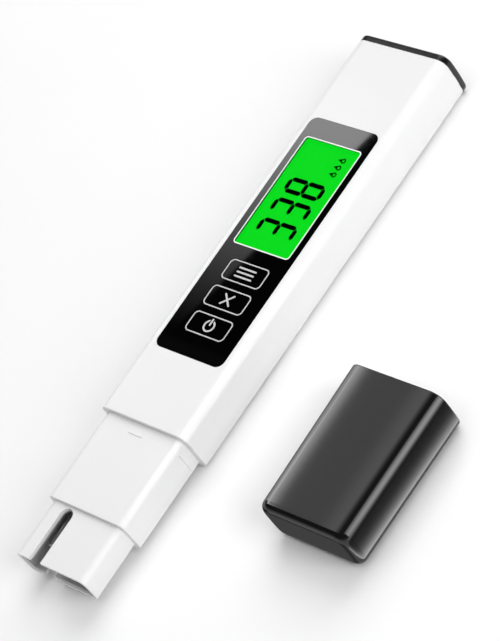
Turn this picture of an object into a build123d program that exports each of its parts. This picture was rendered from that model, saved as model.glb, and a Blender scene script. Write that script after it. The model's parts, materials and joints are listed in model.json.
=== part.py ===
"""Digital water tester: a slim probe pen, with its protective cap lying beside it.

Millimetres. The pen lies on its back: +X across it, +Y along it towards the battery cap
and +Z out of the display face. The origin is the centre of the flat back face.
"""

import os

from build123d import *

# --- pen body, a rounded box with slightly bowed sides
WIDTH = 29.0
THICKNESS = 13.2
LENGTH = 112.8
CORNER_R = 2.8
BOW = 0.5
WALL = 1.4
EDGE_FILLET = 0.25

MID_Z = THICKNESS / 2
TOP_Y = LENGTH / 2
STEP_Y = -LENGTH / 2
INNER_W = WIDTH - 2 * WALL
INNER_T = THICKNESS - 2 * WALL
INNER_R = 1.5
WALL_FLOOR_Z = THICKNESS - WALL

# --- probe housing: a neck that plugs into the body, and the open cup below it
NECK_W, NECK_T, NECK_R = 25.9, 10.3, 2.0
NECK_BOW = 0.4
NECK_L = 24.6
NECK_WALL = 1.3
CUP_W, CUP_T, CUP_R = 23.4, 8.0, 1.7
CUP_BOW = 0.3
CUP_L = 15.3
CUP_WALL = 0.9
PLUG_L = 8.0
PLUG_FIT = 0.1
NECK_END_Y = STEP_Y - NECK_L
CUP_END_Y = NECK_END_Y - CUP_L
BULKHEAD = 1.5
SLOT_W = 3.8
SLOT_X = -4.9
SLOT_TOP_Y = NECK_END_Y - 0.6
LINER_R = 0.9
LINER_WALL = 0.4
LINER_INSET = 0.6

# --- electrodes and temperature sensor
PIN_R = 0.9
PIN_X = 7.4
PIN_REACH = 9.6
SENSOR_R = 1.2
SENSOR_REACH = 5.5
SEAL_BLOCK_L = 7.5
LEAD_R = 0.45

# --- front panel and display
PANEL_W, PANEL_L, PANEL_R = 22.2, 69.7, 2.2
PANEL_T = 0.5
PANEL_Y = -2.4
WINDOW_Y = 10.5
LENS_W, LENS_L, LENS_R = 17.9, 32.2, 0.8
LINE_W = 0.3
LINE_T = 0.1
GLASS_W, GLASS_L, GLASS_T = 18.9, 33.0, 1.8
GLASS_TOP_Z = THICKNESS - 0.55
FILM_T = 0.05
GUIDE_T = 1.4
GUIDE_L = 29.6
HOLDER_W, HOLDER_L = 23.0, 36.4

# --- seven-segment digits, read along +Y with their tops towards -X
DIGITS = "338"
DIGIT_H = 11.9
DIGIT_W = 4.6
DIGIT_PITCH = 6.15
DIGIT_FIRST_Y = 1.0
STROKE = 1.2
STROKE_GAP = 0.1
LIT = {"3": "abcdg", "8": "abcdefg"}

# --- keys
KEY_W, KEY_L, KEY_R = 12.7, 5.8, 1.3
KEY_X = 0.4
KEY_YS = {"mode": -12.65, "clear": -20.4, "power": -28.15}
KEY_CLEARANCE = 0.2
KEY_FLANGE = 0.5
KEY_FLANGE_T = 0.6
MARK_T = 0.1
MARK_LINE = 0.3
SIGN_LINE = 0.46
BARS_L, BARS_PITCH = 5.6, 1.2
CROSS_L = 4.4
RING_R, RING_GAP = 1.7, 1.3
RING_BAR_L, RING_BAR_Y = 2.0, 1.1
STEM = 2.6
PLUNGER_R = 1.1
PLUNGER_L = 1.1
SWITCH_SIDE = 5.2
SWITCH_T = 1.3

# --- board and inner frame
BOARD_W, BOARD_T = 22.0, 1.0
BOARD_TOP_Z = 8.4
BOARD_Y0, BOARD_Y1 = -40.0, 28.2
SCREW_XS = (-9.4, 9.4)
SCREW_YS = (-36.5, -11.5)
SCREW_R = 0.7
FRAME_W = 24.0
FRAME_FLOOR_Z = 1.7
FRAME_FLOOR = 1.0
FRAME_Y0, FRAME_Y1 = -47.5, 28.0

# --- battery drawer with the end cap
CAP_PLATE_T = 1.7
CAP_FILLET = 0.7
CAP_GAP = 0.05
PLUG_GAP = 0.15
DRAWER_PLUG_L = 2.4
CELL_R = 5.8
CELL_T = 5.4
CELL_PITCH = 12.0
TRAY_W = 14.6
TRAY_FLOOR_Z = 3.0
TRAY_FLOOR = 1.0
TRAY_Y0 = 29.3
DRAWER_TOP_Y = TOP_Y + CAP_GAP

# --- protective cap, closed towards -Y
COVER_X = 56.2
COVER_MOUTH_Y = -24.3
COVER_L = 40.0
COVER_W, COVER_T, COVER_R = 28.0, 13.2, 3.4
COVER_W_DRAFT, COVER_T_DRAFT = 1.0, 0.2
COVER_FLOOR = 1.0
COVER_END_FILLET = 2.2
COVER_LIP = 0.3
NECK_FIT = 0.3
NECK_FIT_DRAFT = 0.2
CUP_FIT = 0.6


def section(y, x=0.0, z=MID_Z):
    """Plane across the pen at station y, extruding towards the battery cap."""
    return Plane(origin=(x, y, z), x_dir=(1, 0, 0), z_dir=(0, 1, 0))


def level(z, x=0.0, y=0.0):
    """Plane parallel to the display face, extruding out of it."""
    return Plane(origin=(x, y, z))


def bowed_box(width, thickness, radius, bow):
    """Rounded box outline whose two sides bow outwards; width is across the middle."""
    flat_x, edge_z = width / 2 - bow, thickness / 2
    with BuildSketch() as outline:
        with BuildLine():
            ThreePointArc((flat_x, edge_z), (width / 2, 0), (flat_x, -edge_z))
            Line((flat_x, -edge_z), (-flat_x, -edge_z))
            ThreePointArc((-flat_x, -edge_z), (-width / 2, 0), (-flat_x, edge_z))
            Line((-flat_x, edge_z), (flat_x, edge_z))
        make_face()
        fillet(outline.vertices(), radius)
    return outline.sketch


BODY_OUTLINE = bowed_box(WIDTH, THICKNESS, CORNER_R, BOW)
BORE_OUTLINE = bowed_box(INNER_W, INNER_T, INNER_R, BOW)
PLUG_OUTLINE = bowed_box(INNER_W - PLUG_FIT, INNER_T - PLUG_FIT, INNER_R, BOW)
NECK_OUTLINE = bowed_box(NECK_W, NECK_T, NECK_R, NECK_BOW)
CUP_OUTLINE = bowed_box(CUP_W, CUP_T, CUP_R, CUP_BOW)
LINER_OUTLINE = bowed_box(CUP_W - 2 * CUP_WALL, CUP_T - 2 * CUP_WALL, LINER_R, CUP_BOW)

os.makedirs("parts", exist_ok=True)

# --- body sleeve
with BuildPart() as body_sleeve:
    with BuildSketch(section(STEP_Y)):
        add(BODY_OUTLINE)
    extrude(amount=LENGTH)
    end_edges = body_sleeve.edges().group_by(Axis.Y)
    fillet(end_edges[0] + end_edges[-1], EDGE_FILLET)
    with BuildSketch(section(STEP_Y)):
        add(BORE_OUTLINE)
    extrude(amount=LENGTH, mode=Mode.SUBTRACT)
    with BuildSketch(level(THICKNESS, y=PANEL_Y)):
        RectangleRounded(PANEL_W + 0.1, PANEL_L + 0.1, PANEL_R)
    extrude(amount=-PANEL_T, mode=Mode.SUBTRACT)
    with BuildSketch(level(THICKNESS, y=WINDOW_Y)):
        RectangleRounded(GLASS_W + 0.3, GLASS_L + 0.3, 0.5)
    extrude(amount=-WALL, mode=Mode.SUBTRACT)
    with BuildSketch(level(THICKNESS)):
        with Locations(*[(KEY_X, y) for y in KEY_YS.values()]):
            RectangleRounded(KEY_W + 2 * KEY_CLEARANCE, KEY_L + 2 * KEY_CLEARANCE, KEY_R)
    extrude(amount=-WALL, mode=Mode.SUBTRACT)
body_sleeve.part.label = "body_sleeve"
export_step(body_sleeve.part, "parts/body_sleeve.step")

# --- probe housing: plug, neck, bulkhead and slotted cup in one moulding
SEAL_GROOVE_Y = STEP_Y + 3.0
SEAL_W = 1.2
SEAL_BORE_W, SEAL_BORE_T, SEAL_BORE_R = INNER_W - 1.4, INNER_T - 1.1, 1.2
with BuildPart() as probe_housing:
    with BuildSketch(section(NECK_END_Y)):
        add(NECK_OUTLINE)
    extrude(amount=NECK_L)
    fillet(probe_housing.edges().group_by(Axis.Y)[0], EDGE_FILLET)
    with BuildSketch(section(STEP_Y)):
        add(PLUG_OUTLINE)
    extrude(amount=PLUG_L)
    with BuildSketch(section(CUP_END_Y)):
        add(CUP_OUTLINE)
    extrude(amount=CUP_L + EDGE_FILLET)
    with BuildSketch(section(NECK_END_Y + BULKHEAD)):
        RectangleRounded(NECK_W - 2 * NECK_WALL, NECK_T - 2 * NECK_WALL, 1.0)
    extrude(amount=NECK_L + PLUG_L, mode=Mode.SUBTRACT)
    with BuildSketch(section(CUP_END_Y)):
        add(LINER_OUTLINE)
    extrude(amount=CUP_L, mode=Mode.SUBTRACT)
    with BuildSketch(level(MID_Z - CUP_T / 2 - 0.1, SLOT_X)):
        with Locations((0, (CUP_END_Y - 1 + SLOT_TOP_Y - SLOT_W / 2) / 2)):
            Rectangle(SLOT_W, SLOT_TOP_Y - SLOT_W / 2 - CUP_END_Y + 1)
        with Locations((0, SLOT_TOP_Y - SLOT_W / 2)):
            Circle(SLOT_W / 2)
    extrude(amount=CUP_T + 0.2, mode=Mode.SUBTRACT)
    with BuildSketch(section(NECK_END_Y - 0.5)):
        with Locations((-PIN_X, 0), (PIN_X, 0)):
            Circle(PIN_R)
        Circle(SENSOR_R)
    extrude(amount=BULKHEAD + 1, mode=Mode.SUBTRACT)
    with BuildSketch(section(SEAL_GROOVE_Y)):
        Rectangle(INNER_W, INNER_T)
        RectangleRounded(SEAL_BORE_W, SEAL_BORE_T, SEAL_BORE_R, mode=Mode.SUBTRACT)
    extrude(amount=SEAL_W, mode=Mode.SUBTRACT)
probe_housing.part.label = "probe_housing"
export_step(probe_housing.part, "parts/probe_housing.step")

# --- snap ridges that hold the protective cap: one on each face of the neck
RIDGE_H = 0.22
RIDGE_W = 0.8
RIDGE_Y = STEP_Y - 2.7
FACE_RIDGE_X, FACE_RIDGE_L = -0.5, 4.8
SIDE_RIDGE_L = 6.4
with BuildPart() as snap_ridges:
    for side in (-1, 1):
        face_ridge = Plane(
            origin=(FACE_RIDGE_X, RIDGE_Y, MID_Z + side * NECK_T / 2), z_dir=(0, 0, side)
        )
        with BuildSketch(face_ridge):
            RectangleRounded(FACE_RIDGE_L, RIDGE_W, 0.3)
        extrude(amount=RIDGE_H, taper=20)
        side_ridge = Plane(
            origin=(side * NECK_W / 2, RIDGE_Y, MID_Z), x_dir=(0, 1, 0), z_dir=(side, 0, 0)
        )
        with BuildSketch(side_ridge):
            RectangleRounded(RIDGE_W, SIDE_RIDGE_L, 0.3)
        extrude(amount=RIDGE_H, taper=20)
snap_ridges.part.label = "snap_ridges"
export_step(snap_ridges.part, "parts/snap_ridges.step")

# --- neck seal, a flat ring in the plug's groove
with BuildPart() as neck_seal:
    with BuildSketch(section(SEAL_GROOVE_Y + 0.1)):
        add(BORE_OUTLINE)
        RectangleRounded(SEAL_BORE_W, SEAL_BORE_T, SEAL_BORE_R, mode=Mode.SUBTRACT)
    extrude(amount=SEAL_W - 0.2)
neck_seal.part.label = "neck_seal"
export_step(neck_seal.part, "parts/neck_seal.step")

# --- electrode carrier: grey liner of the cup that guides the water past the pins
LINER_BORE_W = CUP_W - 2 * (CUP_WALL + LINER_WALL)
LINER_BORE_T = CUP_T - 2 * (CUP_WALL + LINER_WALL)
LINER_Y0 = CUP_END_Y + LINER_INSET
with BuildPart() as electrode_carrier:
    with BuildSketch(section(LINER_Y0)):
        add(LINER_OUTLINE)
    extrude(amount=NECK_END_Y - LINER_Y0)
    with BuildSketch(section(LINER_Y0)):
        add(bowed_box(LINER_BORE_W, LINER_BORE_T, LINER_R - LINER_WALL, CUP_BOW))
    extrude(amount=NECK_END_Y - LINER_Y0 - LINER_WALL, mode=Mode.SUBTRACT)
    with BuildSketch(level(MID_Z - CUP_T / 2 - 0.1, SLOT_X)):
        with Locations((0, (CUP_END_Y - 1 + SLOT_TOP_Y - SLOT_W / 2) / 2)):
            Rectangle(SLOT_W, SLOT_TOP_Y - SLOT_W / 2 - CUP_END_Y + 1)
        with Locations((0, SLOT_TOP_Y - SLOT_W / 2)):
            Circle(SLOT_W / 2)
    extrude(amount=CUP_T + 0.2, mode=Mode.SUBTRACT)
    with BuildSketch(section(NECK_END_Y - 1)):
        with Locations((-PIN_X, 0), (PIN_X, 0)):
            Circle(PIN_R)
        Circle(SENSOR_R)
    extrude(amount=2, mode=Mode.SUBTRACT)
electrode_carrier.part.label = "electrode_carrier"
export_step(electrode_carrier.part, "parts/electrode_carrier.step")

# --- electrode pins and temperature sensor, rounded at the wet end
POTTING_Y0 = NECK_END_Y + BULKHEAD
POTTING_Y1 = POTTING_Y0 + SEAL_BLOCK_L
PIN_BACK_Y = POTTING_Y1 + 0.4
with BuildPart() as electrode_pins:
    with BuildSketch(section(NECK_END_Y - PIN_REACH)):
        with Locations((-PIN_X, 0), (PIN_X, 0)):
            Circle(PIN_R)
    extrude(amount=PIN_BACK_Y - NECK_END_Y + PIN_REACH)
    fillet(electrode_pins.edges().group_by(Axis.Y)[0], PIN_R - 0.1)
electrode_pins.part.label = "electrode_pins"
export_step(electrode_pins.part, "parts/electrode_pins.step")

with BuildPart() as temperature_sensor:
    with BuildSketch(section(NECK_END_Y - SENSOR_REACH)):
        Circle(SENSOR_R)
    extrude(amount=PIN_BACK_Y - NECK_END_Y + SENSOR_REACH)
    fillet(temperature_sensor.edges().group_by(Axis.Y)[0], SENSOR_R - 0.1)
temperature_sensor.part.label = "temperature_sensor"
export_step(temperature_sensor.part, "parts/temperature_sensor.step")

# --- potting behind the bulkhead, round the pins
with BuildPart() as probe_potting:
    with BuildSketch(section(POTTING_Y0)):
        RectangleRounded(NECK_W - 2 * NECK_WALL, NECK_T - 2 * NECK_WALL, 1.0)
        with Locations((-PIN_X, 0), (PIN_X, 0)):
            Circle(PIN_R, mode=Mode.SUBTRACT)
        Circle(SENSOR_R, mode=Mode.SUBTRACT)
    extrude(amount=SEAL_BLOCK_L)
probe_potting.part.label = "probe_potting"
export_step(probe_potting.part, "parts/probe_potting.step")

# --- leads from the pins and the sensor up to the board's lower end
LEAD_START_Y = PIN_BACK_Y + 0.05
LEAD_END_Y = BOARD_Y0 + 2.0
LEAD_END_Z = BOARD_TOP_Z - BOARD_T - LEAD_R - 0.05
with BuildPart() as sensor_leads:
    for pin_x, pad_x in ((-PIN_X, -4.0), (0.0, 0.0), (PIN_X, 4.0)):
        with BuildLine() as route:
            Spline(
                (pin_x, LEAD_START_Y, MID_Z),
                (pad_x, LEAD_END_Y, LEAD_END_Z),
                tangents=[(0, 1, 0), (0, 1, 0)],
            )
        with BuildSketch(section(LEAD_START_Y, pin_x)):
            Circle(LEAD_R)
        sweep(path=route.line)
sensor_leads.part.label = "sensor_leads"
export_step(sensor_leads.part, "parts/sensor_leads.step")

# --- inner frame: floor, side rails and four bosses under the board
BOSS_R = 1.8
with BuildPart() as inner_frame:
    with BuildSketch(level(FRAME_FLOOR_Z, y=(FRAME_Y0 + FRAME_Y1) / 2)):
        Rectangle(FRAME_W, FRAME_Y1 - FRAME_Y0)
        with Locations((0, -18), (0, 10)):
            RectangleRounded(FRAME_W - 8, 20, 2, mode=Mode.SUBTRACT)
    extrude(amount=FRAME_FLOOR)
    with BuildSketch(level(FRAME_FLOOR_Z, y=(FRAME_Y0 + FRAME_Y1) / 2)):
        for side in (-1, 1):
            with Locations((side * (FRAME_W - 1.0) / 2, 0)):
                Rectangle(1.0, FRAME_Y1 - FRAME_Y0)
    extrude(amount=BOARD_TOP_Z - BOARD_T - FRAME_FLOOR_Z)
    with BuildSketch(level(FRAME_FLOOR_Z + FRAME_FLOOR)):
        with Locations(*[(x, y) for x in SCREW_XS for y in SCREW_YS]):
            Circle(BOSS_R)
    extrude(amount=BOARD_TOP_Z - BOARD_T - FRAME_FLOOR_Z - FRAME_FLOOR)
    with BuildSketch(level(BOARD_TOP_Z - BOARD_T)):
        with Locations(*[(x, y) for x in SCREW_XS for y in SCREW_YS]):
            Circle(SCREW_R)
    extrude(amount=-3.6, mode=Mode.SUBTRACT)
inner_frame.part.label = "inner_frame"
export_step(inner_frame.part, "parts/inner_frame.step")

# --- main board and the parts soldered on it
with BuildPart() as main_board:
    with BuildSketch(level(BOARD_TOP_Z, y=(BOARD_Y0 + BOARD_Y1) / 2)):
        RectangleRounded(BOARD_W, BOARD_Y1 - BOARD_Y0, 0.8)
    extrude(amount=-BOARD_T)
    with BuildSketch(level(BOARD_TOP_Z)):
        with Locations(*[(x, y) for x in SCREW_XS for y in SCREW_YS]):
            Circle(SCREW_R + 0.1)
    extrude(amount=-BOARD_T, mode=Mode.SUBTRACT)
main_board.part.label = "main_board"
export_step(main_board.part, "parts/main_board.step")

SCREW_L = 4.4
SCREW_HEAD_R, SCREW_HEAD_T = 1.3, 0.8
with BuildPart() as board_screws:
    with BuildSketch(level(BOARD_TOP_Z)):
        with Locations(*[(x, y) for x in SCREW_XS for y in SCREW_YS]):
            Circle(SCREW_HEAD_R)
    extrude(amount=SCREW_HEAD_T)
    fillet(board_screws.edges().group_by(Axis.Z)[-1], 0.3)
    with BuildSketch(level(BOARD_TOP_Z + SCREW_HEAD_T)):
        for x in SCREW_XS:
            for y in SCREW_YS:
                with Locations((x, y)):
                    Rectangle(1.4, 0.3)
                    Rectangle(0.3, 1.4)
    extrude(amount=-0.4, mode=Mode.SUBTRACT)
    with BuildSketch(level(BOARD_TOP_Z)):
        with Locations(*[(x, y) for x in SCREW_XS for y in SCREW_YS]):
            Circle(SCREW_R - 0.02)
    extrude(amount=-SCREW_L)
board_screws.part.label = "board_screws"
export_step(board_screws.part, "parts/board_screws.step")

BOARD_BACK_Z = BOARD_TOP_Z - BOARD_T
with BuildPart() as controller_chip:
    with BuildSketch(level(BOARD_BACK_Z, y=8)):
        RectangleRounded(9, 9, 0.3)
    extrude(amount=-1.4)
    chamfer(controller_chip.edges().group_by(Axis.Z)[0], 0.15)
    for side in (-1, 1):
        with BuildSketch(level(BOARD_BACK_Z, y=8)):
            with GridLocations(1, 0, 8, 1):
                with Locations((0, side * 5.0)):
                    Rectangle(0.4, 1.2)
        extrude(amount=-0.3)
controller_chip.part.label = "controller_chip"
export_step(controller_chip.part, "parts/controller_chip.step")

with BuildPart() as timing_crystal:
    with BuildSketch(section(-2.0, 7.0, BOARD_BACK_Z - 1.0)):
        Circle(1.0)
    extrude(amount=6.0)
    fillet(timing_crystal.edges().group_by(Axis.Y)[-1], 0.3)
timing_crystal.part.label = "timing_crystal"
export_step(timing_crystal.part, "parts/timing_crystal.step")

with BuildPart() as board_components:
    with BuildSketch(level(BOARD_BACK_Z)):
        with Locations((0, -20)):
            with GridLocations(4.2, 5.5, 3, 4):
                Rectangle(1.6, 0.9)
        with Locations((-6.5, 18)):
            with GridLocations(0, 3.0, 1, 3):
                Rectangle(2.0, 1.2)
    extrude(amount=-0.6)
board_components.part.label = "board_components"
export_step(board_components.part, "parts/board_components.step")

# --- display stack: holder, light guide, LED, contact strips, glass, segments
HOLDER_FLOOR = 0.8
HOLDER_TOP_Z = WALL_FLOOR_Z - 0.1
GUIDE_Z0 = BOARD_TOP_Z + HOLDER_FLOOR + 0.1
GLASS_BACK_Z = GLASS_TOP_Z - GLASS_T
with BuildPart() as display_holder:
    with BuildSketch(level(BOARD_TOP_Z, y=WINDOW_Y)):
        RectangleRounded(HOLDER_W, HOLDER_L, 1.0)
    extrude(amount=HOLDER_TOP_Z - BOARD_TOP_Z)
    with BuildSketch(level(BOARD_TOP_Z + HOLDER_FLOOR, y=WINDOW_Y)):
        Rectangle(GLASS_W + 0.1, GLASS_L + 0.1)
    extrude(amount=THICKNESS, mode=Mode.SUBTRACT)
    with BuildSketch(level(BOARD_TOP_Z, y=WINDOW_Y)):
        for side in (-1, 1):
            with Locations((0, side * (GUIDE_L / 2 + 0.85))):
                Rectangle(16.2, 1.4)
    extrude(amount=HOLDER_FLOOR, mode=Mode.SUBTRACT)
display_holder.part.label = "display_holder"
export_step(display_holder.part, "parts/display_holder.step")

with BuildPart() as light_guide:
    with BuildSketch(level(GUIDE_Z0, y=WINDOW_Y)):
        Rectangle(GLASS_W - 0.1, GUIDE_L)
    extrude(amount=GUIDE_T)
    with BuildSketch(level(GUIDE_Z0, y=WINDOW_Y)):
        for side in (-1, 1):
            with Locations((side * (GLASS_W / 2 - 0.6), 0)):
                Rectangle(1.4, 3.4)
    extrude(amount=GUIDE_T, mode=Mode.SUBTRACT)
light_guide.part.label = "light_guide"
export_step(light_guide.part, "parts/light_guide.step")

with BuildPart() as backlight_leds:
    with BuildSketch(level(GUIDE_Z0, y=WINDOW_Y)):
        for side in (-1, 1):
            with Locations((side * (GLASS_W / 2 - 0.6), 0)):
                Rectangle(0.9, 3.0)
    extrude(amount=1.2)
backlight_leds.part.label = "backlight_leds"
export_step(backlight_leds.part, "parts/backlight_leds.step")

with BuildPart() as contact_strips:
    with BuildSketch(level(BOARD_TOP_Z + 0.02, y=WINDOW_Y)):
        for side in (-1, 1):
            with Locations((0, side * (GUIDE_L / 2 + 0.85))):
                Rectangle(16.0, 1.2)
    extrude(amount=GLASS_BACK_Z - BOARD_TOP_Z - 0.04)
contact_strips.part.label = "contact_strips"
export_step(contact_strips.part, "parts/contact_strips.step")

with BuildPart() as display_glass:
    with BuildSketch(level(GLASS_BACK_Z, y=WINDOW_Y)):
        Rectangle(GLASS_W, GLASS_L)
    extrude(amount=GLASS_T)
    chamfer(display_glass.edges().group_by(Axis.Z)[-1], 0.1)
display_glass.part.label = "display_glass"
export_step(display_glass.part, "parts/display_glass.step")


def segment_ends(width, height):
    """Start and end of each stroke, in a digit's own frame: right is +x, up is +y."""
    w, h = width / 2, height / 2
    return {
        "a": ((-w, h), (w, h)),
        "b": ((w, h), (w, 0)),
        "c": ((w, 0), (w, -h)),
        "d": ((-w, -h), (w, -h)),
        "e": ((-w, 0), (-w, -h)),
        "f": ((-w, h), (-w, 0)),
        "g": ((-w, 0), (w, 0)),
    }


# --- lit segments of the reading and a row of three level drops after it
STROKES = segment_ends(DIGIT_W - STROKE, DIGIT_H - STROKE)
DROP_X, DROP_Y, DROP_PITCH = 5.2, 21.3, 2.1
DROP_R, DROP_TIP, DROP_LINE = 0.72, 1.65, 0.34
with BuildPart() as display_segments:
    for place, digit in enumerate(DIGITS):
        digit_plane = Plane(
            origin=(0, DIGIT_FIRST_Y + place * DIGIT_PITCH, GLASS_TOP_Z),
            x_dir=(0, 1, 0),
            z_dir=(0, 0, 1),
        )
        for name in LIT[digit]:
            start, end = Vector(*STROKES[name][0]), Vector(*STROKES[name][1])
            along = (end - start).normalized()
            across = Vector(-along.Y, along.X)
            start, end = start + along * STROKE_GAP, end - along * STROKE_GAP
            half = STROKE / 2
            with BuildSketch(digit_plane):
                with BuildLine():
                    Polyline(
                        tuple(start)[:2],
                        tuple(start + along * half + across * half)[:2],
                        tuple(end - along * half + across * half)[:2],
                        tuple(end)[:2],
                        tuple(end - along * half - across * half)[:2],
                        tuple(start + along * half - across * half)[:2],
                        close=True,
                    )
                make_face()
            extrude(amount=FILM_T)
    for step in (-1, 0, 1):
        with BuildSketch(level(GLASS_TOP_Z, DROP_X, DROP_Y + step * DROP_PITCH)):
            Circle(DROP_R)
            with BuildLine():
                Polyline((0, DROP_R), (-DROP_TIP, 0), (0, -DROP_R), close=True)
            make_face()
            Circle(DROP_R - DROP_LINE, mode=Mode.SUBTRACT)
        extrude(amount=FILM_T)
display_segments.part.label = "display_segments"
export_step(display_segments.part, "parts/display_segments.step")

# --- front panel, window lens and the printed line round it
with BuildPart() as front_panel:
    with BuildSketch(level(THICKNESS - PANEL_T, y=PANEL_Y)):
        RectangleRounded(PANEL_W, PANEL_L, PANEL_R)
        with Locations((0, WINDOW_Y - PANEL_Y)):
            RectangleRounded(LENS_W, LENS_L, LENS_R, mode=Mode.SUBTRACT)
        with Locations(*[(KEY_X, y - PANEL_Y) for y in KEY_YS.values()]):
            RectangleRounded(
                KEY_W + 2 * KEY_CLEARANCE,
                KEY_L + 2 * KEY_CLEARANCE,
                KEY_R + KEY_CLEARANCE,
                mode=Mode.SUBTRACT,
            )
    extrude(amount=PANEL_T)
    with BuildSketch(level(THICKNESS, y=WINDOW_Y)):
        RectangleRounded(LENS_W + 2 * LINE_W, LENS_L + 2 * LINE_W, LENS_R + LINE_W)
    extrude(amount=-LINE_T, mode=Mode.SUBTRACT)
front_panel.part.label = "front_panel"
export_step(front_panel.part, "parts/front_panel.step")

with BuildPart() as window_lens:
    with BuildSketch(level(THICKNESS - PANEL_T, y=WINDOW_Y)):
        RectangleRounded(LENS_W - 0.04, LENS_L - 0.04, LENS_R)
    extrude(amount=PANEL_T)
window_lens.part.label = "window_lens"
export_step(window_lens.part, "parts/window_lens.step")

with BuildPart() as window_line:
    with BuildSketch(level(THICKNESS - LINE_T, y=WINDOW_Y)):
        RectangleRounded(LENS_W + 2 * LINE_W, LENS_L + 2 * LINE_W, LENS_R + LINE_W)
        RectangleRounded(LENS_W, LENS_L, LENS_R, mode=Mode.SUBTRACT)
    extrude(amount=LINE_T)
window_line.part.label = "window_line"
export_step(window_line.part, "parts/window_line.step")

# --- keys: each has its cap, its light marking and the switch plunger it presses
KEY_TOP_Z = THICKNESS - MARK_T
FLANGE_TOP_Z = WALL_FLOOR_Z - 0.1
FLANGE_Z = FLANGE_TOP_Z - KEY_FLANGE_T
SWITCH_TOP_Z = BOARD_TOP_Z + SWITCH_T
PLUNGER_TOP_Z = SWITCH_TOP_Z + 0.5
for key_name, key_y in KEY_YS.items():
    with BuildPart() as key:
        with BuildSketch(level(FLANGE_Z, KEY_X, key_y)):
            RectangleRounded(KEY_W + 2 * KEY_FLANGE, KEY_L + 2 * KEY_FLANGE, KEY_R)
        extrude(amount=KEY_FLANGE_T)
        with BuildSketch(level(FLANGE_TOP_Z, KEY_X, key_y)):
            RectangleRounded(KEY_W, KEY_L, KEY_R)
        extrude(amount=KEY_TOP_Z - FLANGE_TOP_Z)
        with BuildSketch(level(PLUNGER_TOP_Z, KEY_X, key_y)):
            Rectangle(STEM, STEM)
        extrude(amount=FLANGE_Z - PLUNGER_TOP_Z)
    key.part.label = f"{key_name}_key"
    export_step(key.part, f"parts/{key_name}_key.step")

    with BuildPart() as key_mark:
        with BuildSketch(level(KEY_TOP_Z, KEY_X, key_y)):
            RectangleRounded(KEY_W, KEY_L, KEY_R)
            RectangleRounded(
                KEY_W - 2 * MARK_LINE, KEY_L - 2 * MARK_LINE, KEY_R - MARK_LINE, mode=Mode.SUBTRACT
            )
            if key_name == "mode":
                with GridLocations(0, BARS_PITCH, 1, 3):
                    SlotOverall(BARS_L, SIGN_LINE)
            elif key_name == "clear":
                for angle in (45, -45):
                    SlotOverall(CROSS_L, SIGN_LINE, rotation=angle)
            else:
                Circle(RING_R)
                Circle(RING_R - SIGN_LINE, mode=Mode.SUBTRACT)
                with Locations((0, RING_R)):
                    Rectangle(RING_GAP, RING_R, mode=Mode.SUBTRACT)
                with Locations((0, RING_BAR_Y)):
                    SlotOverall(RING_BAR_L, SIGN_LINE, rotation=90)
        extrude(amount=MARK_T)
    key_mark.part.label = f"{key_name}_key_mark"
    export_step(key_mark.part, f"parts/{key_name}_key_mark.step")

    with BuildPart() as plunger:
        with BuildSketch(level(PLUNGER_TOP_Z, KEY_X, key_y)):
            Circle(PLUNGER_R)
        extrude(amount=-PLUNGER_L)
    plunger.part.label = f"{key_name}_plunger"
    export_step(plunger.part, f"parts/{key_name}_plunger.step")

with BuildPart() as key_switches:
    with BuildSketch(level(BOARD_TOP_Z)):
        with Locations(*[(KEY_X, y) for y in KEY_YS.values()]):
            RectangleRounded(SWITCH_SIDE, SWITCH_SIDE, 0.4)
    extrude(amount=SWITCH_T)
    with BuildSketch(level(SWITCH_TOP_Z)):
        with Locations(*[(KEY_X, y) for y in KEY_YS.values()]):
            Circle(PLUNGER_R + 0.15)
    extrude(amount=-(SWITCH_T - 0.15), mode=Mode.SUBTRACT)
key_switches.part.label = "key_switches"
export_step(key_switches.part, "parts/key_switches.step")

# --- springs on the board that meet the drawer's contacts
SPRING_T = 0.2
SPRING_XS = (-4.0, 4.0)
with BuildPart() as contact_springs:
    for spring_x in SPRING_XS:
        with BuildSketch(level(BOARD_BACK_Z, spring_x, BOARD_Y1 - 1.5)):
            Rectangle(3.0, 3.8)
        extrude(amount=-SPRING_T)
        with BuildSketch(level(BOARD_BACK_Z, spring_x, BOARD_Y1 + 0.5)):
            Rectangle(3.0, SPRING_T)
        extrude(amount=-3.2)
contact_springs.part.label = "contact_springs"
export_step(contact_springs.part, "parts/contact_springs.step")

# --- end cap: black plate with a soft rim, and a grooved plug
PLUG_W, PLUG_T = INNER_W - 2 * PLUG_GAP, INNER_T - 2 * PLUG_GAP
GROOVE_DEPTH = 0.5
GROOVE_R = 0.9
SEAL_STANDS_OUT = 0.05
GROOVE_Y = DRAWER_TOP_Y - 1.6
GROOVE_L = 1.0
with BuildPart() as end_cap:
    with BuildSketch(section(DRAWER_TOP_Y)):
        add(BODY_OUTLINE)
    extrude(amount=CAP_PLATE_T)
    fillet(end_cap.edges().group_by(Axis.Y)[-1], CAP_FILLET)
    with BuildSketch(section(DRAWER_TOP_Y - DRAWER_PLUG_L)):
        add(bowed_box(PLUG_W, PLUG_T, INNER_R, BOW))
    extrude(amount=DRAWER_PLUG_L)
    with BuildSketch(section(GROOVE_Y)):
        Rectangle(PLUG_W + 1, PLUG_T + 1)
        RectangleRounded(
            PLUG_W - 2 * GROOVE_DEPTH, PLUG_T - 2 * GROOVE_DEPTH, GROOVE_R, mode=Mode.SUBTRACT
        )
    extrude(amount=GROOVE_L, mode=Mode.SUBTRACT)
end_cap.part.label = "end_cap"
export_step(end_cap.part, "parts/end_cap.step")

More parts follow.
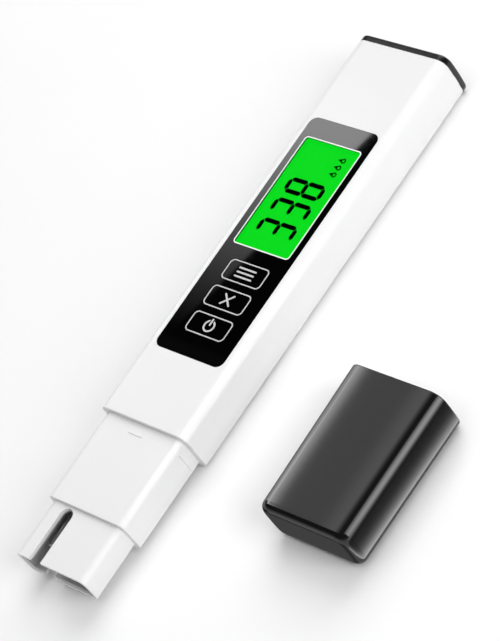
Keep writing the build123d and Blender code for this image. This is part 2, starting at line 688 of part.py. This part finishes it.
with BuildPart() as end_cap_seal:
    with BuildSketch(section(GROOVE_Y + 0.05)):
        add(bowed_box(PLUG_W + 2 * SEAL_STANDS_OUT, PLUG_T + 2 * SEAL_STANDS_OUT, INNER_R, BOW))
        RectangleRounded(
            PLUG_W - 2 * GROOVE_DEPTH, PLUG_T - 2 * GROOVE_DEPTH, GROOVE_R, mode=Mode.SUBTRACT
        )
    extrude(amount=GROOVE_L - 0.1)
end_cap_seal.part.label = "end_cap_seal"
export_step(end_cap_seal.part, "parts/end_cap_seal.step")

# --- battery tray with two cell pockets and side wings
TRAY_Y1 = DRAWER_TOP_Y - DRAWER_PLUG_L
CELL_Y = (TRAY_Y0 + TRAY_Y1) / 2
CELL_FLOOR_Z = TRAY_FLOOR_Z + TRAY_FLOOR
TRAY_TOP_Z = CELL_FLOOR_Z + CELL_T
with BuildPart() as battery_tray:
    with BuildSketch(level(TRAY_FLOOR_Z, y=CELL_Y)):
        Rectangle(TRAY_W, TRAY_Y1 - TRAY_Y0)
    extrude(amount=TRAY_TOP_Z - TRAY_FLOOR_Z)
    with BuildSketch(level(MID_Z - 0.5, y=CELL_Y)):
        for side in (-1, 1):
            with Locations((side * (TRAY_W + 4.8) / 2, 0)):
                Rectangle(5.2, TRAY_Y1 - TRAY_Y0 - 4)
                with GridLocations(0, 6, 1, 3):
                    RectangleRounded(3.0, 4.4, 0.8, mode=Mode.SUBTRACT)
    extrude(amount=1.0)
    with BuildSketch(level(CELL_FLOOR_Z, y=CELL_Y)):
        with GridLocations(0, CELL_PITCH, 1, 2):
            Circle(CELL_R + 0.1)
    extrude(amount=CELL_T + 1, mode=Mode.SUBTRACT)
    with BuildSketch(level(TRAY_FLOOR_Z, y=CELL_Y)):
        with GridLocations(0, CELL_PITCH, 1, 2):
            Circle(2.2)
    extrude(amount=TRAY_FLOOR, mode=Mode.SUBTRACT)
battery_tray.part.label = "battery_tray"
export_step(battery_tray.part, "parts/battery_tray.step")

with BuildPart() as battery_cells:
    with BuildSketch(level(CELL_FLOOR_Z + 0.02, y=CELL_Y)):
        with GridLocations(0, CELL_PITCH, 1, 2):
            Circle(CELL_R)
    extrude(amount=CELL_T - 0.7)
    fillet(battery_cells.edges().group_by(Axis.Z)[0], 0.4)
    with BuildSketch(level(CELL_FLOOR_Z + CELL_T - 0.68, y=CELL_Y)):
        with GridLocations(0, CELL_PITCH, 1, 2):
            Circle(CELL_R - 0.9)
    extrude(amount=0.5)
    fillet(battery_cells.edges().group_by(Axis.Z)[-1], 0.25)
battery_cells.part.label = "battery_cells"
export_step(battery_cells.part, "parts/battery_cells.step")

with BuildPart() as tray_contacts:
    for spring_x in SPRING_XS:
        with BuildSketch(level(TRAY_FLOOR_Z + 1.2, spring_x, TRAY_Y0 - SPRING_T / 2)):
            Rectangle(3.0, SPRING_T)
        extrude(amount=4.0)
tray_contacts.part.label = "tray_contacts"
export_step(tray_contacts.part, "parts/tray_contacts.step")

# --- protective cap: drafted shell, its cavity stepped like the neck and cup that it covers
COVER_END_Y = COVER_MOUTH_Y - COVER_L
with BuildPart() as protective_cap:
    with BuildSketch(section(COVER_END_Y, COVER_X)):
        add(bowed_box(COVER_W - COVER_W_DRAFT, COVER_T - COVER_T_DRAFT, COVER_R, BOW))
    with BuildSketch(section(COVER_MOUTH_Y, COVER_X)):
        add(bowed_box(COVER_W, COVER_T, COVER_R, BOW))
    loft()
    fillet(protective_cap.edges().group_by(Axis.Y)[0], COVER_END_FILLET)
    with BuildSketch(section(COVER_END_Y + COVER_FLOOR, COVER_X)):
        add(bowed_box(CUP_W + CUP_FIT, CUP_T + CUP_FIT, CUP_R, CUP_BOW))
    extrude(amount=COVER_L - COVER_FLOOR, mode=Mode.SUBTRACT)
    with BuildSketch(section(COVER_MOUTH_Y - NECK_L, COVER_X)):
        add(bowed_box(NECK_W + NECK_FIT - NECK_FIT_DRAFT, NECK_T + NECK_FIT, NECK_R, NECK_BOW))
    with BuildSketch(section(COVER_MOUTH_Y, COVER_X)):
        add(bowed_box(NECK_W + NECK_FIT, NECK_T + NECK_FIT, NECK_R, NECK_BOW))
    loft(mode=Mode.SUBTRACT)
    fillet(protective_cap.edges().group_by(Axis.Y)[-1], COVER_LIP)
protective_cap.part.label = "protective_cap"
export_step(protective_cap.part, "parts/protective_cap.step")
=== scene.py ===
import json
import math

import bmesh
import bpy
from mathutils import Matrix, Vector


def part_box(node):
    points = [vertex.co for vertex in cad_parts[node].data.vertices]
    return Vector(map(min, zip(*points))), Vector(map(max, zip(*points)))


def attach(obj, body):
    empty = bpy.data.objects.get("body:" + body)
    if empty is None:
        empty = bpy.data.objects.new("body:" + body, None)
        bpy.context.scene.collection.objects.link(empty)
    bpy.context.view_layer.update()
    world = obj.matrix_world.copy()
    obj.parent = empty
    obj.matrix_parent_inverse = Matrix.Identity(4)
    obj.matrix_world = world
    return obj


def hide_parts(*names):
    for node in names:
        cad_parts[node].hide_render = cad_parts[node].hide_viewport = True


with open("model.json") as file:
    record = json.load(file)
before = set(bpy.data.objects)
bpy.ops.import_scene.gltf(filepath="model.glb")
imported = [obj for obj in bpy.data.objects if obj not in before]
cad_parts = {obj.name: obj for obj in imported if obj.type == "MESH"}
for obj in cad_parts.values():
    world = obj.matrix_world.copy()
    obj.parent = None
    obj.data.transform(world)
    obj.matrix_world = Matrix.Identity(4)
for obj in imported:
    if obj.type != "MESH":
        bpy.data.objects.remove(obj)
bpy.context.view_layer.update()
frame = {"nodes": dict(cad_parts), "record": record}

# Digital water tester. Metres: +X across the pen, +Y towards the battery cap, +Z out of the face.
MM = 0.001
FACE_Z = 13.2 * MM

# --- camera, at the photograph's angle
CAMERA_AT = Vector((0.4804, -0.2255, 0.5158))
CAMERA_AIM = Vector((0.00404, -0.02066, 0.0066))
CAMERA_ROLL = math.radians(-38.51)
LENS_MM = 173.5
SENSOR_MM = 36.0


def make_camera():
    data = bpy.data.cameras.new("camera")
    data.lens = LENS_MM
    data.sensor_width = SENSOR_MM
    data.clip_start = 0.01
    data.clip_end = 20.0
    camera = bpy.data.objects.new("camera", data)
    bpy.context.scene.collection.objects.link(camera)
    look = (CAMERA_AIM - CAMERA_AT).to_track_quat("-Z", "Y").to_matrix().to_4x4()
    camera.matrix_world = Matrix.Translation(CAMERA_AT) @ look @ Matrix.Rotation(CAMERA_ROLL, 4, "Z")
    bpy.context.scene.camera = camera


# --- materials
class Nodes:
    """A short hand for building a material's node tree."""

    def __init__(self, name):
        self.material = bpy.data.materials.new(name)
        self.material.use_nodes = True
        self.tree = self.material.node_tree
        self.shader = self.tree.nodes["Principled BSDF"]
        self.coords = self.add("ShaderNodeTexCoord").outputs["Object"]

    def add(self, kind, **values):
        node = self.tree.nodes.new(kind)
        for key, value in values.items():
            setattr(node, key, value)
        return node

    def link(self, source, target):
        self.tree.links.new(source, target)

    def noise(self, scale, detail=3.0, roughness=0.5, stretch=None):
        """Noise over object coordinates; scale is in features per metre."""
        node = self.add("ShaderNodeTexNoise")
        node.inputs["Scale"].default_value = scale
        node.inputs["Detail"].default_value = detail
        node.inputs["Roughness"].default_value = roughness
        source = self.coords
        if stretch:
            mapping = self.add("ShaderNodeMapping")
            mapping.inputs["Scale"].default_value = stretch
            self.link(source, mapping.inputs["Vector"])
            source = mapping.outputs["Vector"]
        self.link(source, node.inputs["Vector"])
        return node.outputs["Fac"]

    def span(self, source, low, high, from_low=0.3, from_high=0.7):
        """Maps a factor to the range low..high."""
        node = self.add("ShaderNodeMapRange")
        node.inputs["From Min"].default_value = from_low
        node.inputs["From Max"].default_value = from_high
        node.inputs["To Min"].default_value = low
        node.inputs["To Max"].default_value = high
        self.link(source, node.inputs["Value"])
        return node.outputs["Result"]

    def ramp(self, source, stops):
        node = self.add("ShaderNodeValToRGB")
        elements = node.color_ramp.elements
        for index, (place, colour) in enumerate(stops):
            element = elements[index] if index < len(elements) else elements.new(place)
            element.position = place
            element.color = (*colour, 1.0)
        self.link(source, node.inputs["Fac"])
        return node.outputs["Color"]

    def bump(self, source, strength, distance):
        node = self.add("ShaderNodeBump")
        node.inputs["Strength"].default_value = strength
        node.inputs["Distance"].default_value = distance
        self.link(source, node.inputs["Height"])
        return node

    def set(self, **values):
        for key, value in values.items():
            self.shader.inputs[key.replace("_", " ")].default_value = value


def shade(colour, factor):
    """The colour made darker or lighter by a factor."""
    return tuple(min(1.0, channel * factor) for channel in colour)


def moulded(name, colour, rough, spread=0.04, vary=0.03, orange_peel=0.05, grain=0.0):
    """Injection-moulded plastic: faint colour drift, uneven gloss, orange peel and fine grain."""
    n = Nodes(name)
    drift = n.noise(90, detail=4)
    n.link(
        n.ramp(drift, [(0.25, shade(colour, 1 - vary)), (0.75, shade(colour, 1 + vary))]),
        n.shader.inputs["Base Color"],
    )
    n.link(n.span(n.noise(700, detail=2), rough - spread, rough + spread), n.shader.inputs["Roughness"])
    peel = n.bump(n.noise(450, detail=1), orange_peel, 0.02 * MM)
    if grain:
        fine = n.bump(n.noise(9000, detail=2), grain, 0.02 * MM)
        n.link(fine.outputs["Normal"], peel.inputs["Normal"])
    n.link(peel.outputs["Normal"], n.shader.inputs["Normal"])
    return n.material


def metal(name, colour, rough, stretch, bump=0.15):
    """Drawn or brushed metal: streaks along the drawing direction."""
    n = Nodes(name)
    streak = n.noise(2500, detail=4, stretch=stretch)
    n.link(
        n.ramp(streak, [(0.2, shade(colour, 0.86)), (0.8, shade(colour, 1.08))]),
        n.shader.inputs["Base Color"],
    )
    n.link(n.span(streak, rough - 0.03, rough + 0.03), n.shader.inputs["Roughness"])
    n.link(n.bump(streak, bump, 0.01 * MM).outputs["Normal"], n.shader.inputs["Normal"])
    n.set(Metallic=1.0)
    return n.material


def lit_display(name, colour, strength):
    """Backlit liquid crystal: even glow with a fine cell pattern."""
    n = Nodes(name)
    pattern = n.noise(5200, detail=1)
    glow = n.ramp(pattern, [(0.3, shade(colour, 0.97)), (0.7, shade(colour, 1.03))])
    n.link(glow, n.shader.inputs["Emission Color"])
    body = n.ramp(pattern, [(0.3, shade(colour, 0.08)), (0.7, shade(colour, 0.1))])
    n.link(body, n.shader.inputs["Base Color"])
    n.set(Emission_Strength=strength, Roughness=0.5, Specular_IOR_Level=0.05)
    return n.material


def clear_lens(name):
    """Clear acrylic window with an anti-glare surface."""
    n = Nodes(name)
    n.set(Base_Color=(1, 1, 1, 1), Transmission_Weight=1.0, IOR=1.02, Specular_IOR_Level=0.1)
    n.link(n.span(n.noise(2000, detail=2), 0.0, 0.02), n.shader.inputs["Roughness"])
    return n.material


def rubber(name, colour):
    """Matt moulded rubber, with a fine grain."""
    n = Nodes(name)
    n.link(
        n.ramp(n.noise(1500), [(0.3, shade(colour, 0.8)), (0.7, shade(colour, 1.2))]),
        n.shader.inputs["Base Color"],
    )
    n.link(n.bump(n.noise(6000), 0.2, 0.02 * MM).outputs["Normal"], n.shader.inputs["Normal"])
    n.set(Roughness=0.7)
    return n.material


def solder_mask(name, colour):
    """Printed board: green mask over faint copper tracks."""
    n = Nodes(name)
    tracks = n.add("ShaderNodeTexBrick")
    tracks.inputs["Scale"].default_value = 260
    tracks.inputs["Mortar Size"].default_value = 0.03
    tracks.inputs["Color1"].default_value = (*colour, 1)
    tracks.inputs["Color2"].default_value = (*shade(colour, 1.15), 1)
    tracks.inputs["Mortar"].default_value = (*shade(colour, 1.7), 1)
    n.link(n.coords, tracks.inputs["Vector"])
    n.link(tracks.outputs["Color"], n.shader.inputs["Base Color"])
    n.link(n.bump(tracks.outputs["Fac"], 0.3, 0.03 * MM).outputs["Normal"], n.shader.inputs["Normal"])
    n.set(Roughness=0.35)
    return n.material


def by_name():
    return {
        "white_abs": moulded("white_abs", (0.81, 0.81, 0.812), 0.34, vary=0.006, orange_peel=0.015),
        "black_abs": moulded("black_abs", (0.006, 0.006, 0.0065), 0.2, orange_peel=0.02),
        "cap_abs": moulded("cap_abs", (0.006, 0.006, 0.0064), 0.12, 0.008, orange_peel=0.006),
        "panel_gloss": moulded("panel_gloss", (0.001, 0.001, 0.001), 0.045, 0.005, orange_peel=0.0),
        "lens_clear": clear_lens("lens_clear"),
        "print_white": moulded("print_white", (0.9, 0.9, 0.9), 0.5),
        "key_print": moulded("key_print", (0.55, 0.55, 0.56), 0.5),
        "display_green": lit_display("display_green", (0.0, 0.65, 0.009), 1.0),
        "segment_black": moulded("segment_black", (0.002, 0.0025, 0.002), 0.6),
        # the carrier lines the probe cup; its grey is partly its own colour and partly painted shade
        # darkening the cup's inside
        "carrier_grey": moulded("carrier_grey", (0.42, 0.42, 0.425), 0.5, grain=0.1),
        "holder_white": moulded("holder_white", (0.75, 0.75, 0.72), 0.45, grain=0.15),
        "steel": metal("steel", (0.45, 0.45, 0.46), 0.4, (1, 0.04, 1), 0.02),
        "nickel": metal("nickel", (0.68, 0.66, 0.62), 0.22, (1, 1, 1), 0.03),
        "gold_contact": metal("gold_contact", (0.8, 0.58, 0.22), 0.28, (0.1, 1, 1), 0.03),
        "board_green": solder_mask("board_green", (0.01, 0.11, 0.035)),
        "chip_black": moulded("chip_black", (0.02, 0.02, 0.02), 0.55, grain=0.3),
        "component_tan": moulded("component_tan", (0.42, 0.3, 0.18), 0.5, grain=0.2),
        "seal_rubber": rubber("seal_rubber", (0.03, 0.03, 0.03)),
        "potting": rubber("potting", (0.015, 0.015, 0.015)),
        "strip_rubber": rubber("strip_rubber", (0.6, 0.3, 0.3)),
        "wire_red": rubber("wire_red", (0.4, 0.02, 0.015)),
        "led_yellow": moulded("led_yellow", (0.6, 0.75, 0.2), 0.4),
        "cell_steel": metal("cell_steel", (0.66, 0.66, 0.67), 0.36, (0.3, 0.3, 0.03), 0.01),
    }


def dress_nodes(materials):
    """Gives every CAD node the material of its slot."""
    for row in frame["record"]["subparts"]:
        node = frame["nodes"][row["node"]]
        node.data.materials.clear()
        node.data.materials.append(materials[row["material_slot"]])


# --- button cells: a rolled can edge, a plastic ring and a dished cover
CELL_SIDES = 96
# each cell's outline from the middle of its base to the middle of its cover: share of the
# radius and of the height, and whether the face that follows is the plastic ring
CELL_OUTLINE = [
    (0.0, 0.0, False), (0.93, 0.0, False), (0.975, 0.012, False), (0.996, 0.045, False),
    (1.0, 0.09, False), (1.0, 0.8, False), (0.996, 0.845, False), (0.98, 0.88, False),
    (0.95, 0.9, False), (0.915, 0.902, False), (0.895, 0.885, True), (0.865, 0.88, True),
    (0.84, 0.895, False), (0.832, 0.93, False), (0.825, 0.975, False), (0.805, 0.995, False),
    (0.77, 1.0, False), (0.74, 0.998, False), (0.72, 0.985, False), (0.7, 0.982, False), (0.0, 0.982, False),
]


def lathe_cell(bm, centre, radius, height):
    """Turns the outline into one button cell, standing on centre."""
    angles = [2 * math.pi * k / CELL_SIDES for k in range(CELL_SIDES)]
    before, ring_before = None, False
    for share, rise, is_ring in CELL_OUTLINE:
        z = centre.z + rise * height
        reach = share * radius
        if share == 0:
            verts = [bm.verts.new((centre.x, centre.y, z))]
        else:
            verts = [
                bm.verts.new((centre.x + reach * math.cos(a), centre.y + reach * math.sin(a), z))
                for a in angles
            ]
        if before:
            for k in range(CELL_SIDES):
                following = (k + 1) % CELL_SIDES
                if len(before) == 1:
                    corners = (before[0], verts[following], verts[k])
                elif len(verts) == 1:
                    corners = (before[k], before[following], verts[0])
                else:
                    corners = (before[k], before[following], verts[following], verts[k])
                face = bm.faces.new(corners)
                face.smooth = True
                face.material_index = int(ring_before)
        before, ring_before = verts, is_ring


def make_cells(materials):
    low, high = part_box("battery_cells")
    radius = (high[0] - low[0]) / 2
    height = high[2] - low[2]
    middle = Vector(((low[0] + high[0]) / 2, (low[1] + high[1]) / 2, low[2]))
    spread = (high[1] - low[1]) / 2 - radius
    bm = bmesh.new()
    for side in (-1, 1):
        lathe_cell(bm, middle + Vector((0, side * spread, 0)), radius, height)
    mesh = bpy.data.meshes.new("button_cells")
    bm.to_mesh(mesh)
    bm.free()
    mesh.materials.append(materials["cell_steel"])
    mesh.materials.append(materials["seal_rubber"])
    cells = bpy.data.objects.new("button_cells", mesh)
    bpy.context.scene.collection.objects.link(cells)
    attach(cells, "battery_drawer")
    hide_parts("battery_cells")


# --- floor, world and lights
FLOOR_SIDE = 6.0
FLOOR_DROP = 0.02 * MM
CARD_LIFT = 0.3 * MM
# the cards' own sizes and places are in millimetres
CAP_MIDDLE = Vector((56.2, -44.0, 0.0))
FAR_CARD = 350
# upward part of the direction, 0 at the horizon and 1 overhead, and the grey there
SKY = [(0.0, 0.9), (0.12, 0.6), (0.3, 0.12), (0.45, 0.03), (1.0, 0.02)]


def make_floor():
    mesh = bpy.data.meshes.new("floor")
    half = FLOOR_SIDE / 2
    corners = [(-half, -half, 0), (half, -half, 0), (half, half, 0), (-half, half, 0)]
    mesh.from_pydata(corners, [], [(0, 1, 2, 3)])
    floor = bpy.data.objects.new("floor", mesh)
    bpy.context.scene.collection.objects.link(floor)
    floor.location.z = -FLOOR_DROP
    n = Nodes("floor_white")
    paint = n.ramp(n.noise(6), [(0.3, (0.92, 0.92, 0.92)), (0.7, (0.94, 0.94, 0.94))])
    n.link(paint, n.shader.inputs["Base Color"])
    n.set(Roughness=0.9, Specular_IOR_Level=0.1)
    mesh.materials.append(n.material)


def area_light(name, direction, distance, size, size_y, radiance):
    """Soft box that shines on the object with the same radiance at every point of its face."""
    data = bpy.data.lights.new(name, "AREA")
    data.shape = "RECTANGLE"
    data.size = size
    data.size_y = size_y
    data.energy = radiance * math.pi * size * size_y
    light = bpy.data.objects.new(name, data)
    bpy.context.scene.collection.objects.link(light)
    away = Vector(direction).normalized()
    turn = away.to_track_quat("Z", "Y").to_matrix().to_4x4()
    light.matrix_world = Matrix.Translation(away * distance) @ turn
    light.visible_camera = False
    return light


def make_world():
    """Studio with pale walls and a dark ceiling."""
    world = bpy.data.worlds.new("studio")
    world.use_nodes = True
    tree = world.node_tree
    coords = tree.nodes.new("ShaderNodeTexCoord")
    split = tree.nodes.new("ShaderNodeSeparateXYZ")
    ramp = tree.nodes.new("ShaderNodeValToRGB")
    tree.links.new(coords.outputs["Generated"], split.inputs["Vector"])
    tree.links.new(split.outputs["Z"], ramp.inputs["Fac"])
    tree.links.new(ramp.outputs["Color"], tree.nodes["Background"].inputs["Color"])
    elements = ramp.color_ramp.elements
    for index, (height, value) in enumerate(SKY):
        element = elements[index] if index < 2 else elements.new(height)
        element.position = height
        element.color = (value, value, value, 1.0)
    bpy.context.scene.world = world


def glow_card(name, low, high, place, glow, steps=60):
    """Glowing card that only glossy faces see, with a brightness that changes over its face.

    Its grid runs over x and y from low to high, in millimetres; place(x, y) is where the card
    lies for that point, and glow(x, y) is its brightness there.
    """
    mesh = bpy.data.meshes.new(name)
    bm = bmesh.new()
    brightness = bm.verts.layers.float.new("glow")
    grid = []
    for i in range(steps + 1):
        x = low[0] + (high[0] - low[0]) * i / steps
        row = []
        for j in range(steps + 1):
            y = low[1] + (high[1] - low[1]) * j / steps
            vert = bm.verts.new(place(x, y))
            vert[brightness] = max(0.0, glow(x, y))
            row.append(vert)
        grid.append(row)
    for near, far in zip(grid, grid[1:]):
        for j in range(steps):
            bm.faces.new((near[j], far[j], far[j + 1], near[j + 1]))
    bm.to_mesh(mesh)
    bm.free()
    card = bpy.data.objects.new(name, mesh)
    bpy.context.scene.collection.objects.link(card)
    material = bpy.data.materials.new(name)
    material.use_nodes = True
    tree = material.node_tree
    tree.nodes.clear()
    level = tree.nodes.new("ShaderNodeAttribute")
    level.attribute_name = "glow"
    emission = tree.nodes.new("ShaderNodeEmission")
    output = tree.nodes.new("ShaderNodeOutputMaterial")
    tree.links.new(level.outputs["Fac"], emission.inputs["Strength"])
    tree.links.new(emission.outputs["Emission"], output.inputs["Surface"])
    mesh.materials.append(material)
    card.visible_camera = False
    card.visible_diffuse = False
    card.visible_shadow = False
    card.visible_transmission = False


def hung_over_faces(throw):
    """Places a card where the camera sees it reflected in a mirror at the display face's level.

    Its distance from the face is throw times the camera's. It stays there in every view.
    """
    mirrored = Vector((CAMERA_AT.x, CAMERA_AT.y, 2 * FACE_Z - CAMERA_AT.z))

    def place(x, y):
        on_face = Vector((x * MM, y * MM, FACE_Z))
        return on_face + (on_face - mirrored) * throw

    return place


def on_floor(x, y):
    """Places a card just over the floor."""
    return Vector((x * MM, y * MM, CARD_LIFT))


def standing_at(x):
    """Places a card upright, along the pen, at x."""
    return lambda y, z: Vector((x * MM, y * MM, z * MM))


def standing_far(azimuth):
    """Places a narrow card upright far from the cap, facing it from azimuth degrees."""
    turn = math.radians(azimuth)
    away = Vector((math.cos(turn), math.sin(turn), 0))
    across = Vector((-math.sin(turn), math.cos(turn), 0))
    return lambda u, z: (CAP_MIDDLE + away * FAR_CARD + across * u + Vector((0, 0, z))) * MM


def smooth(value, low, high):
    """0 below low, 1 above high, and a smooth rise between them."""
    t = min(1.0, max(0.0, (value - low) / (high - low)))
    return t * t * (3 - 2 * t)


def pen_glow(x, y):
    """Slanted soft box along the pen: brightest over the window, dark over the lower keys."""
    slant, edge_at_origin, softness = 0.258, -0.2, 0.2
    start_y, climb, fullest = -34, 70, 0.89
    brightest, curve = 5.6, 1.8
    edge = slant * y + edge_at_origin
    inside = 1 - smooth(x, edge - softness, edge + softness)
    rise = min(fullest, max(0.0, (y - start_y) / climb))
    return inside * brightest * rise ** curve


def side_glow(x, y):
    """Gentle wash from the left over the white faces, even along the black end cap."""
    brightest, on_end_cap = 2.2, 2.6
    wash = brightest * (1 - smooth(x, -14, 12))
    return wash + (on_end_cap - wash) * smooth(y, 54.5, 56.0)


def cap_glow(x, y):
    """Soft box over the loose cap: bright over its left edge, even in the middle, fading on the right."""
    middle, left_extra, right_extra = 0.95, 5.8, 0.6
    left = left_extra * (1 - smooth(x, 45.0, 50.0)) ** 1.5
    right = right_extra * smooth(x, 61, 66)
    return (middle + left + right) * (1 - smooth(x, 68, 89))


def left_foot_glow(y, z):
    """Low card on the cap's left: dark at the floor."""
    at_floor, extra = 0.03, 1.5
    return at_floor + extra * smooth(z, 4, 16)


def left_glow(u, z):
    """Tall card far on the cap's left: brighter towards its top."""
    at_floor, extra, top = 0.5, 5.5, 250
    return at_floor + extra * z / top


def right_foot_glow(y, z):
    """Low card on the cap's right: dark at the floor."""
    at_floor, extra = 0.1, 2.6
    return at_floor + extra * smooth(z, -3, 13) ** 2


def right_glow(u, z):
    """Tall card far on the cap's right: a soft band, brightest a third of the way up."""
    foot, brightest, best_rise, width = 12, 6.3, 20, 24
    rise = math.degrees(math.atan((z - foot) / FAR_CARD))
    return brightest * math.exp(-((rise - best_rise) / width) ** 2)


def strip_glow(x, y):
    """Low strip beside the cap, bright where it comes near."""
    far_off, near_extra, near_x, fade = 0.15, 1.9, 73.3, 1.7
    return far_off + near_extra * math.exp((near_x - x) / fade)


def end_painted_shade_glow(x, y):
    """Dark card over the floor in front of the cap's closed end, seen only in reflections: painted shade."""
    return 0.17


def side_painted_shade_glow(x, y):
    """Near-black card over the floor along the cap's left side, seen only in reflections: painted shade."""
    return 0.03


def make_lights():
    make_world()
    area_light("back_light", (-0.15, 0.75, 0.65), distance=1.1, size=0.9, size_y=0.9, radiance=2.9)
    # the side and top lights don't show in reflections, where the cards take their place
    side_light = area_light(
        "side_light", (0.85, 0.02, 0.5), distance=1.0, size=0.45, size_y=0.6, radiance=6.0
    )
    side_light.visible_glossy = False
    top_light = area_light("top_light", (0.0, 0.0, 1.0), distance=1.5, size=2.0, size_y=2.0, radiance=1.27)
    top_light.visible_glossy = False
    glow_card("window_card", (-12.5, -34), (12, 36), hung_over_faces(0.15), pen_glow, steps=120)
    glow_card("upper_card", (-16, 38), (12, 62), hung_over_faces(0.3), side_glow)
    glow_card("lower_card", (-16, -100), (12, -42), hung_over_faces(0.3), side_glow)
    glow_card("cap_card", (33, -76), (90, -14), hung_over_faces(0.04), cap_glow)
    glow_card("cap_left_foot", (-80, 0.5), (0, 14), standing_at(31), left_foot_glow)
    glow_card("cap_left_card", (-55, 10), (55, 250), standing_far(162), left_glow)
    glow_card("cap_right_foot", (-80, 0.5), (10, 12), standing_at(100), right_foot_glow)
    glow_card("cap_right_card", (-55, 12), (55, 430), standing_far(18), right_glow)
    glow_card("cap_side_card", (71.2, -72), (99, -10), on_floor, strip_glow)
    # painted shade: a dim card in front of the cap's closed end, seen only in reflections
    glow_card("cap_end_painted_shade_card", (30, -80), (68, -64.6), on_floor, end_painted_shade_glow)
    # painted shade: a near-black card along the cap's left side, seen only in reflections
    glow_card("cap_side_painted_shade_card", (31, -64), (42, -14), on_floor, side_painted_shade_glow)


make_camera()
materials = by_name()
dress_nodes(materials)
make_cells(materials)
make_floor()
make_lights()
bpy.context.scene.view_settings.view_transform = "Standard"
